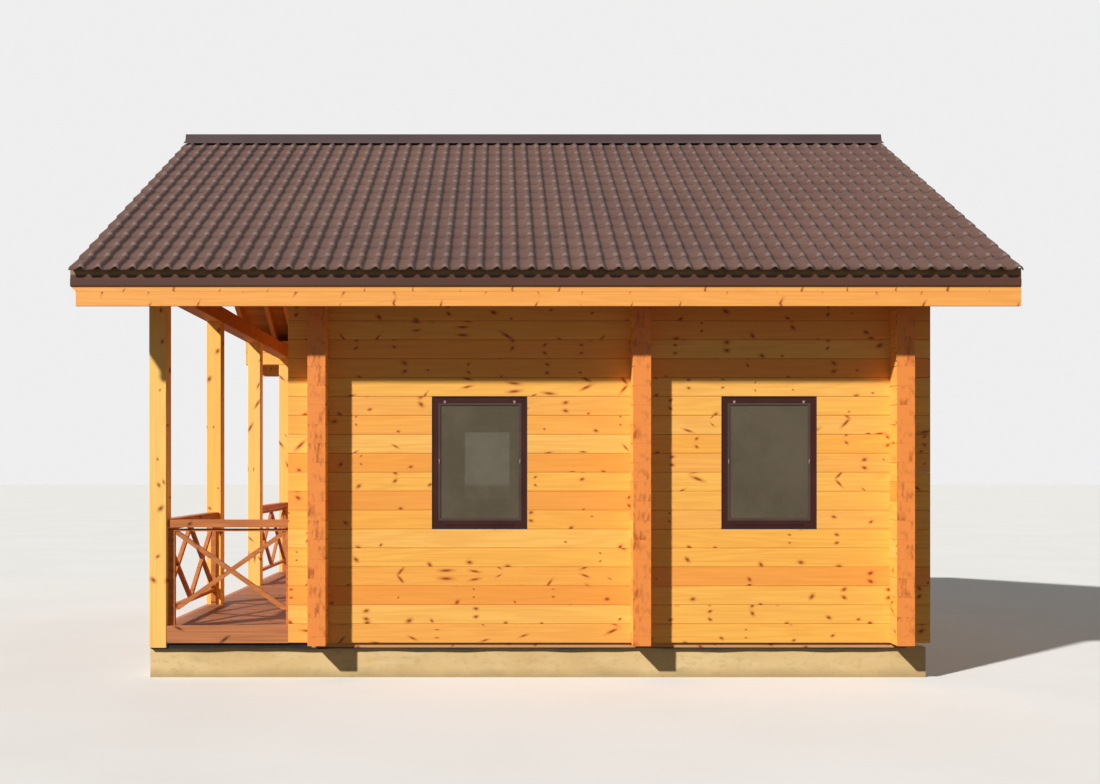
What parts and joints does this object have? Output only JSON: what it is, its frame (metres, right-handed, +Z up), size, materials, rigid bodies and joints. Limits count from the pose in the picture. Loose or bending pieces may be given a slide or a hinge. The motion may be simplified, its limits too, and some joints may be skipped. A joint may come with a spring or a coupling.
{
  "type": "log house with a front porch",
  "caption": "One-storey house of planed yellow logs with half-lapped corners, a porch with crossed-brace railings and a brown metal tile roof.",
  "frame": {"origin": "on the ground at the centre of the house's bounding box", "axes": "+X along the ridge towards the rear wall, +Y across the house towards the far long wall, +Z up"},
  "size_m": [7.14, 7.11, 5.1],
  "materials": {
    "planed_logs": "satin",
    "light_boards": "satin",
    "stained_wood": "satin",
    "rough_timber": "matte",
    "door_wood": "satin",
    "plinth_render": "matte",
    "roof_metal": "matte",
    "window_brown": "satin",
    "pane_glass": "gloss",
    "handle_metal": "satin"
  },
  "bodies": {
    "root": {"barge_boards_porch": "light_boards", "barge_boards_rear": "light_boards", "door_frame": "door_wood", "door_handle": "handle_metal", "eave_flashing_far": "roof_metal", "eave_flashing_near": "roof_metal", "entrance_door": "door_wood", "far_railing": "stained_wood", "far_wall_logs": "planed_logs", "fascia_far": "light_boards", "fascia_near": "light_boards", "front_railing_far": "stained_wood", "front_railing_near": "stained_wood", "near_railing": "stained_wood", "near_wall_logs": "planed_logs", "partition_logs": "planed_logs", "plinth": "plinth_render", "porch_deck": "stained_wood", "porch_edge_boards": "stained_wood", "porch_gable_logs": "planed_logs", "porch_joists": "rough_timber", "porch_posts": "light_boards", "porch_tie_beam": "planed_logs", "porch_wall_logs": "planed_logs", "rafters": "rough_timber", "rear_gable_logs": "planed_logs", "rear_wall_logs": "planed_logs", "ridge_board": "rough_timber", "ridge_cap": "roof_metal", "roof_boards_far": "rough_timber", "roof_boards_near": "rough_timber", "roof_tiles_far": "roof_metal", "roof_tiles_near": "roof_metal", "room_floors": "rough_timber", "sill_boards": "rough_timber", "tile_battens_far": "rough_timber", "tile_battens_near": "rough_timber", "window_frames": "window_brown", "window_panes": "pane_glass", "window_sashes": "window_brown", "window_screens": "window_brown"}
  },
  "joints": []
}
